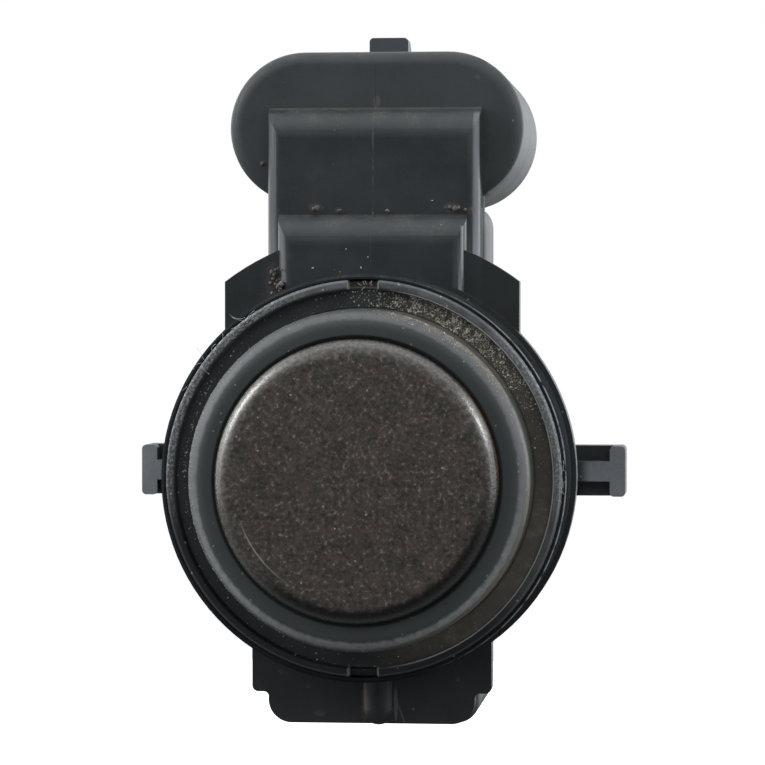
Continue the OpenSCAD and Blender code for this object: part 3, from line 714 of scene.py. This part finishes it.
ring_angle = np.linspace(0, 2 * np.pi, ring_turns, endpoint=False)
from_middle = np.abs(np.sin(ring_angle)) * rim_in
notched = np.clip((notch_half_w - from_middle) / notch_ramp, 0, 1)[:, None, None]
ring_sections = ring_section(ring_front) * (1 - notched) + ring_section(ring_floor - notch_step) * notched
ring = turned("notched_ring", ring_sections, ring_turns, True)
black, tree, skin = finish_of("black_ring_plastic")
aside, _, height = along_axes(tree)
radius, depth, hour = use(tree, clock_group)
grain = use(tree, grain_group, Cells=8.0, Cloud_Cells=0.7)
specks = use(tree, speck_group, Cells=2.6, Size=0.14, Share=0.3)
dust = use(tree, dust_group, Cover=0.18, On_Top=0.0, Patch_Cells=1.1, Crumb_Cells=4.5)
plain = blend(tree, grain["Tone"], (0.031, 0.034, 0.035), (0.060, 0.064, 0.065))

# The rim: painted black below and grey above as painted shade and light, with painted highlights along
# its outer edge at the upper left and right, and a pale line along its inner edge at the right, worn and
# partly a painted highlight.
tilted = calc(tree, "MULTIPLY_ADD", aside, 0.3, height)
on_rim = ramp(tree, radius, rim_in - 0.04, rim_in)
rim_top = times(tree, on_rim, ramp(tree, depth, 0.15, 0.05))
# Painted shade below and painted light above on the rim.
plain = blend(tree, times(tree, on_rim, ramp(tree, tilted, -2.0, -7.0)), plain, (0.017, 0.018, 0.019))
greyed = times(tree, on_rim, zone(tree, (tilted, -7.0, 4.0), (grain["Tone"], 0.25, 0.65)))
plain = blend(tree, greyed, plain, (0.135, 0.138, 0.142))
highlight_right = band(tree, hour, 1.3, 1.8, 3.0, 3.8)
highlight_left = band(tree, hour, 9.1, 9.9, 11.2, 11.8)
highlight_hours = spread(tree, calc(tree, "MAXIMUM", highlight_right, highlight_left), 0.15, 0.9)
# Painted highlight: pale lines along the rim's outer edge at the upper left and right.
out_edge = band(tree, radius, ring_r - 0.17, ring_r - 0.13, ring_r - 0.1, ring_r - 0.06)
plain = blend(tree, times(tree, rim_top, out_edge, highlight_hours), plain, (0.31, 0.31, 0.305))
# A pale line along the rim's inner edge at the right: wear, and partly a painted highlight.
in_edge = zone(tree, (radius, rim_in + 0.08, rim_in + 0.05), (hour, 0.2, 0.5, 5.0, 6.0))
plain = blend(tree, times(tree, rim_top, in_edge), plain, (0.62, 0.62, 0.61))

# The notches: a brown floor at the top one, and pale lines along their sides and its front.
from_notch = calc(tree, "ABSOLUTE", aside)
notch_floor = zone(tree, (from_notch, notch_half_w, notch_half_w - 0.06), (height, 0.0, 1.0))
plain = blend(tree, times(tree, on_rim, notch_floor), plain, (0.040, 0.031, 0.024), 0.8)
notch_sides = band(tree, from_notch, notch_half_w - 0.14, notch_half_w - 0.08,
                   notch_half_w + 0.01, notch_half_w + 0.06)
notch_front = zone(tree, (from_notch, notch_half_w, notch_half_w - 0.05),
                   (radius, rim_in + 0.16, rim_in + 0.1), (height, 0.0, 1.0))
notch_lines = times(tree, on_rim, calc(tree, "MAXIMUM", notch_sides, notch_front))
plain = blend(tree, notch_lines, plain, (0.22, 0.21, 0.195), 0.8)

# Fine scratches on the rim, painted pale only at the upper left and right and so partly painted glints,
# with the rim's top darker again at the upper left; specks; and silt in the channel, painted paler
# towards the lower right as painted light where the silicone shades it.
scratches = ramp(tree, noise(tree, millimetres(tree), 6.5, 4.0, 0.8), 0.44, 0.7)
left_hours = band(tree, hour, 8.4, 9.4, 11.0, 11.6)
right_hours = band(tree, hour, 1.2, 1.8, 2.8, 3.6)
plain = blend(tree, times(tree, rim_top, left_hours), plain, (0.05, 0.052, 0.054), 0.55)
outer_rim = ramp(tree, radius, rim_in, rim_in + 0.15)
scratch_glints = times(tree, outer_rim, calc(tree, "MAXIMUM", left_hours, right_hours), scratches)
plain = blend(tree, scratch_glints, plain, (0.44, 0.45, 0.455))
plain = blend(tree, specks["Mask"], plain, (0.42, 0.41, 0.39), 0.8)
film = times(tree, calc(tree, "SUBTRACT", 1.0, on_rim), ramp(tree, dust["Mask"], -0.25, 0.25))
# Painted light: the silt is painted paler towards the lower right, where the silicone shades the channel.
silt = blend(tree, ramp(tree, hour, 2.8, 4.2), (0.13, 0.11, 0.085), (0.28, 0.24, 0.185))
plain = blend(tree, times(tree, film, band(tree, hour, 0.7, 1.8, 5.0, 6.0)), plain, silt)
drifted = blend(tree, 0.45, dust["Colour"], (0.045, 0.038, 0.028))
plain = blend(tree, times(tree, film, band(tree, hour, 0.1, 0.8, 1.6, 2.4)), plain, drifted)
cover(tree, skin, plain, spread(tree, grain["Tone"], 0.32, 0.52))
skin.inputs["Specular IOR Level"].default_value = 0.35
roughen(tree, skin, grain["Height"], 0.3, 0.04)
dress(ring, black)
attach(ring, "root")
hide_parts("retaining_ring")


# Mould seam: the fine ridge where the two halves of the mould met, down the middle of the socket's
# face, the neck and the pad, pale where its crest is rubbed.
seam_half_w = 0.05
seam_h = 0.016
seam_sunk = 0.01
seam_gap = 0.02
socket_front, socket_top = 6.8, 23.3
neck_front, neck_top, neck_flat_top = 5.3, 20.9, 18.9
pad_front, pad_top, pad_flat_top, pad_foot = 4.1, 14.85, 12.9, 11.7
neck_edge_r = 1.85


def carried(name, path, across_path, section):
    """A profile carried along paths: at each path point the section's (side, out) steps are laid
    along the sideways direction and the outward one, both given with the path."""
    sideways, outwards = across_path
    to_side = section[:, 0, None] * sideways[..., None, :]
    to_front = section[:, 1, None] * outwards[..., None, :]
    return grid_piece(name, path[..., None, :] + to_side + to_front, False, False)


def straight_run(front, top, foot, count):
    """Points (y, z) evenly down a flat face."""
    return np.stack([np.full(count, front), np.linspace(top, foot, count)], axis=-1)


def rounded_run(front, top, angle):
    """Points (y, z) down a rounded upper edge, a quarter circle that ends in the flat face."""
    return np.stack([front + neck_edge_r * (1 - np.sin(angle)),
                     top - neck_edge_r * (1 - np.cos(angle))], axis=-1)


quarter = np.linspace(0, np.pi / 2, 12)
seam_yz = np.concatenate([
    straight_run(socket_front, socket_top, neck_top + seam_gap, 8),
    rounded_run(neck_front, neck_top, quarter[2:]),
    straight_run(neck_front, neck_flat_top, pad_top + seam_gap, 10),
    rounded_run(pad_front, pad_top, quarter[4:]),
    straight_run(pad_front, pad_flat_top, pad_foot, 8)])
seam_path = np.insert(seam_yz, 0, 0.0, axis=1)
along = np.gradient(seam_yz, axis=0)
along /= np.linalg.norm(along, axis=1, keepdims=True)
seam_out = np.stack([np.zeros(len(along)), along[:, 1], -along[:, 0]], axis=-1)
seam_side = np.tile([1.0, 0.0, 0.0], (len(along), 1))
crest = np.linspace(-1, 1, 7)
seam_section = np.stack([crest * seam_half_w, seam_h * (1 - crest ** 2) - seam_sunk], axis=-1)
seam = carried("mould_seam", seam_path, (seam_side, seam_out), seam_section)
patchy, tree, skin = finish_of("rubbed_seam")
grain = use(tree, grain_group, Cells=3.0, Cloud_Cells=0.9)
_, _, height = along_axes(tree)
pale = zone(tree, (grain["Tone"], 0.45, 0.62), (height, 13.0, 19.0, 20.8, 21.3))
seam_colour = blend(tree, pale, (0.024, 0.028, 0.030), (0.10, 0.095, 0.09))
cover(tree, skin, seam_colour, spread(tree, grain["Tone"], 0.4, 0.6))
dress(seam, patchy)
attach(seam, "root")


# Road dust: fine beige crumbs that have drifted into the ring's channel at the upper right, with
# single ones round the channel, on the silicone and on the pad. Each crumb is a lumpy ball.
random = np.random.default_rng(7)


def closed_strips(points):
    """The quads of many grids of points (grid, row, column, xyz), each closed round its columns."""
    index = np.arange(points[..., 0].size).reshape(points.shape[:3])
    return quads_of(np.concatenate([index, index[..., :1]], axis=2))


def crumbs(name, centres, sizes):
    """Many lumpy balls in one mesh: a grid of latitude and longitude for each, its radius waving
    with both angles by a random phase but not at the poles, squashed a little and set in place."""
    count = len(centres)
    lump_share = 0.28
    latitude = np.linspace(0, np.pi, 5)[None, :, None]
    longitude = np.linspace(0, 2 * np.pi, 7, endpoint=False)[None, None, :]
    phase = random.uniform(0, 2 * np.pi, (count, 1, 1))
    wave = np.sin(2 * longitude + phase) * np.sin(3 * latitude + 2 * phase) * np.sin(latitude)
    ball = np.stack([np.sin(latitude) * np.cos(longitude), np.sin(latitude) * np.sin(longitude),
                     np.cos(latitude) + 0 * longitude], axis=-1)
    squash = random.uniform(0.6, 1.3, (count, 1, 1, 3))
    shape = ball * (1 + lump_share * wave)[..., None] * squash
    points = centres[:, None, None] + shape * sizes[:, None, None, None]
    mesh = mesh_of(name, points, closed_strips(points))
    weld(mesh)
    return put(name, mesh)


def crumb_sizes(count, least, most, evenness):
    """Random radii between two bounds: the lower the evenness, the more of them are small."""
    return least + (most - least) * random.power(evenness, count)


def at_clock(hours, radius, depth):
    """Points round the sensor's axis from their o'clock, distance from the axis and depth."""
    angle = hours * np.pi / 6
    return np.stack([radius * np.sin(angle), depth, radius * np.cos(angle)], axis=-1)


def on_nose(hours, tilt):
    """Points on the silicone's rounded edge: tilt turns from its front, at 0, to its side."""
    return at_clock(hours, nose_r - nose_edge_r * (1 - np.sin(tilt)),
                    nose_front + nose_edge_r * (1 - np.cos(tilt)))


def earth_finish(name, cells, dark, light):
    """Dull earth whose colour changes from cell to cell between a dark and a light one."""
    earth, tree, skin = finish_of(name)
    lots = place(tree, "ShaderNodeTexVoronoi", {"Vector": millimetres(tree), "Scale": cells})
    pick = place(tree, "ShaderNodeSeparateColor", {0: lots.outputs["Color"]}).outputs["Red"]
    tree.links.new(blend(tree, pick, dark, light), skin.inputs["Base Color"])
    skin.inputs["Roughness"].default_value = 0.9
    return earth


channel_in, channel_out = 9.5, rim_in - 0.03
sunk_share = 0.3
drift_count = 2800
drift_hours = random.normal(1.1, 0.55, drift_count)
drift_sizes = crumb_sizes(drift_count, 0.012, 0.062, 0.35)
drift_radius = random.uniform(channel_in, channel_out, drift_count)
drift = at_clock(drift_hours, drift_radius, ring_floor - sunk_share * drift_sizes)
channel_count = 220
channel_sizes = crumb_sizes(channel_count, 0.012, 0.038, 0.4)
channel_hours = random.uniform(0, 12, channel_count)
channel_radius = random.uniform(channel_in, channel_out, channel_count)
channel = at_clock(channel_hours, channel_radius, ring_floor - sunk_share * channel_sizes)
shoulder_count = 1000
shoulder_tilt = random.triangular(0.7, 1.5, 1.57, shoulder_count)
shoulder_sizes = crumb_sizes(shoulder_count, 0.008, 0.028, 0.3)
on_shoulder = on_nose(random.normal(8.9, 1.3, shoulder_count), shoulder_tilt)
slope_count = 500
slope_tilt = random.uniform(0.7, 1.5, slope_count)
slope_sizes = crumb_sizes(slope_count, 0.008, 0.038, 0.35)
on_slope = on_nose(random.normal(1.1, 0.5, slope_count), slope_tilt)
foot_count = 170
foot_sizes = crumb_sizes(foot_count, 0.014, 0.044, 0.35)
foot_hours = random.normal(9.4, 0.6, foot_count)
foot_radius = 9.95 + np.abs(random.normal(0, 0.13, foot_count))
along_foot = at_clock(foot_hours, foot_radius, ring_floor - sunk_share * foot_sizes)
on_pad = np.array([[-3.29, pad_front, 11.69], [-2.07, pad_front, 11.58], [-1.74, pad_front, 11.47],
                   [-0.55, pad_front, 11.69], [-1.4, pad_front, 12.76], [-0.16, pad_front, 12.31],
                   [3.35, neck_front, 15.5]])
pad_sizes = np.array([0.07, 0.035, 0.04, 0.05, 0.035, 0.04, 0.06])
dirt = crumbs(
    "dust_crumbs", np.concatenate([drift, channel, on_shoulder, on_slope, along_foot, on_pad]),
    np.concatenate([drift_sizes, channel_sizes, shoulder_sizes, slope_sizes, foot_sizes, pad_sizes]))
dress(dirt, earth_finish("road_dust", 4.0, (0.10, 0.086, 0.067), (0.73, 0.68, 0.58)))
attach(dirt, "root")


# Caked dirt: a few brown clods along the pad's ledge, one on the socket's face, and a crust in the
# corner between the pad and the left shoulder. A clod has its place (x, z), spread and count.
clods = [(-3.2, 15.05, 0.12, 7), (-1.95, 14.93, 0.14, 3), (0.88, 14.92, 0.08, 2), (4.55, 15.05, 0.22, 8),
         (5.35, 14.95, 0.12, 3)]
clod_proud = 0.12
clod_places = np.concatenate([
    np.stack([x + random.normal(0, spread_x, count), neck_front - random.uniform(0.0, clod_proud, count),
              z + np.abs(random.normal(0, spread_x / 3, count))], axis=-1)
    for x, z, spread_x, count in clods])
clod_sizes = crumb_sizes(len(clod_places), 0.06, 0.19, 0.6)
crust_count = 26
crust_x = random.triangular(-5.8, -5.3, -5.0, crust_count)
crust_y = np.interp(crust_x, [-5.6, -5.1], [4.45, 4.12])
crust_places = np.stack([crust_x, crust_y, random.uniform(10.1, 11.7, crust_count)], axis=-1)
crust_sizes = crumb_sizes(crust_count, 0.06, 0.19, 0.5)
single_places = np.array([[-6.5, socket_front, 17.7], [-2.18, 5.35, 19.5]])
single_sizes = np.array([0.13, 0.05])
cake = crumbs("caked_dirt", np.concatenate([clod_places, crust_places, single_places]),
              np.concatenate([clod_sizes, crust_sizes, single_sizes]))
dress(cake, earth_finish("brown_clay", 3.0, (0.060, 0.052, 0.049), (0.175, 0.150, 0.140)))
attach(cake, "root")


# Lint: hair-fine pale fibres caught on the rim at the upper left and right and in the top notch.
# They lie loose, each a thin tube that bends a little.
def fibres(name, starts, headings, lengths, bends, thickness, steps):
    """Many fine tubes in one mesh: each path leaves its start on its heading and turns steadily by
    its bend over its length, in the plane of the sensor's face; a five-sided ring follows it."""
    wave_share = 0.06
    share = np.linspace(0, 1, steps)[None, :]
    heading = headings[:, None] + bends[:, None] * share
    step = lengths[:, None] / steps
    path_y = wave_share * np.sin(3 * np.pi * share) * lengths[:, None]
    path = np.stack([np.cumsum(np.cos(heading) * step, axis=1), path_y,
                     np.cumsum(np.sin(heading) * step, axis=1)], axis=-1) + starts[:, None]
    side = np.stack([-np.sin(heading), 0 * heading, np.cos(heading)], axis=-1)
    turn = np.linspace(0, 2 * np.pi, 5, endpoint=False)
    around = side[:, :, None] * np.cos(turn)[:, None] + np.array([0.0, 1.0, 0.0]) * np.sin(turn)[:, None]
    points = path[:, :, None] + thickness * around
    return put(name, mesh_of(name, points, closed_strips(points)))


curls, strands, notch_fluff = 14, 26, 5
lint_count = curls + strands + notch_fluff
fibre_r = 0.009
fibre_steps = 26
lint_hours = np.concatenate([random.normal(10.55, 0.25, curls), random.normal(2.9, 0.12, strands),
                             random.normal(0.0, 0.04, notch_fluff)])
lint_radius = np.concatenate([random.uniform(10.88, 11.06, curls + strands),
                              random.uniform(10.5, 10.8, notch_fluff)])
lint_starts = at_clock(lint_hours, lint_radius, np.full(lint_count, ring_front - 0.02))
lint_leans = np.concatenate([
    random.normal(0, 0.7, curls), random.choice([-1, 1], strands) * random.uniform(0.3, 0.7, strands),
    random.normal(0, 0.3, notch_fluff)])
lint_headings = -lint_hours * np.pi / 6 + random.choice([0, np.pi], lint_count) + lint_leans
lint_bends = random.choice([-1, 1], lint_count) * np.concatenate([
    random.uniform(0.4, 1.6, curls), random.uniform(0.2, 1.2, strands),
    random.uniform(0.5, 2.0, notch_fluff)])
lint_lengths = np.concatenate([random.uniform(0.3, 0.9, curls), random.uniform(0.2, 0.42, strands),
                               random.uniform(0.15, 0.3, notch_fluff)])
lint = fibres("lint_fibres", lint_starts, lint_headings, lint_lengths, lint_bends, fibre_r, fibre_steps)
thread, tree, skin = finish_of("pale_lint")
tint = noise(tree, millimetres(tree), 1.5)
tree.links.new(blend(tree, tint, (0.45, 0.45, 0.44), (0.75, 0.75, 0.74)), skin.inputs["Base Color"])
skin.inputs["Roughness"].default_value = 0.8
dress(lint, thread)
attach(lint, "root")


# Floor: a plain white sheet some way below the sensor, which takes its shadow.
floor_z = -0.04
floor_half = 0.3
floor_corners = [(-floor_half, -floor_half, floor_z), (floor_half, -floor_half, floor_z),
                 (floor_half, floor_half, floor_z), (-floor_half, floor_half, floor_z)]
floor_mesh = bpy.data.meshes.new("floor")
floor_mesh.from_pydata(floor_corners, [], [(0, 1, 2, 3)])
floor = put("floor", floor_mesh)
paper, tree, skin = finish_of("white_floor")
rays = place(tree, "ShaderNodeLightPath").outputs
seen = calc(tree, "MAXIMUM", rays["Is Camera Ray"], rays["Is Transmission Ray"])
sheet = blend(tree, seen, (0.09, 0.09, 0.09), (0.85, 0.85, 0.85))
tree.links.new(sheet, skin.inputs["Base Color"])
skin.inputs["Roughness"].default_value = 0.9
glow = place(tree, "ShaderNodeEmission", {"Color": (1, 1, 1, 1), "Strength": times(tree, seen, 0.6)})
both = place(tree, "ShaderNodeAddShader", {0: skin.outputs[0], 1: glow.outputs[0]})
tree.links.new(both.outputs[0], tree.nodes["Material Output"].inputs["Surface"])
dress(floor, paper)


# Studio: soft boxes at the upper left, upper right and overhead, and a white tent behind and
# around the sensor that stays open and dark in front and below. A lamp has its place, size and power.
lamps = {
    "left_box": ((-0.36, -0.05, 0.20), 0.17, 1.0),
    "right_box": ((0.38, -0.04, 0.18), 0.09, 0.5),
    "top_box": ((0.0, -0.28, 0.36), 0.7, 1.35),
    "left_panel": ((-0.42, -0.10, 0.02), 0.22, 0.35),
    "right_panel": ((0.42, -0.10, 0.02), 0.22, 0.22),
    "left_back": ((-0.32, 0.28, 0.06), 0.25, 0.35),
    "right_back": ((0.30, 0.30, 0.04), 0.25, 0.7),
}
cool_white = (0.93, 0.97, 1.0)
for name, (where, size, power) in lamps.items():
    lamp = bpy.data.lights.new(name, "AREA")
    lamp.size = size
    lamp.energy = power
    lamp.color = cool_white
    lamp_object = put(name, lamp)
    lamp_object.location = where
    lamp_object.rotation_euler = (-Vector(where)).to_track_quat("-Z", "Y").to_euler()
world = bpy.data.worlds.new("tent")
bpy.context.scene.world = world
world.use_nodes = True
tree = world.node_tree
background = tree.nodes["Background"]
direction = place(tree, "ShaderNodeTexCoord").outputs["Generated"]
opening = (-camera_forward + Vector((0, 0, -0.5))).normalized()
into_opening = place(tree, "ShaderNodeVectorMath", {0: direction, 1: tuple(opening)},
                     operation="DOT_PRODUCT").outputs["Value"]
tent = spread(tree, ramp(tree, into_opening, 0.6, 0.05), 0.05, 1.0)
rays = place(tree, "ShaderNodeLightPath").outputs
straight = calc(tree, "MAXIMUM", rays["Is Camera Ray"], rays["Is Transmission Ray"])
tree.links.new(calc(tree, "MAXIMUM", tent, straight), background.inputs["Strength"])
tree.links.new(blend(tree, straight, cool_white, (1, 1, 1)), background.inputs["Color"])
bpy.context.scene.view_settings.view_transform = "Standard"
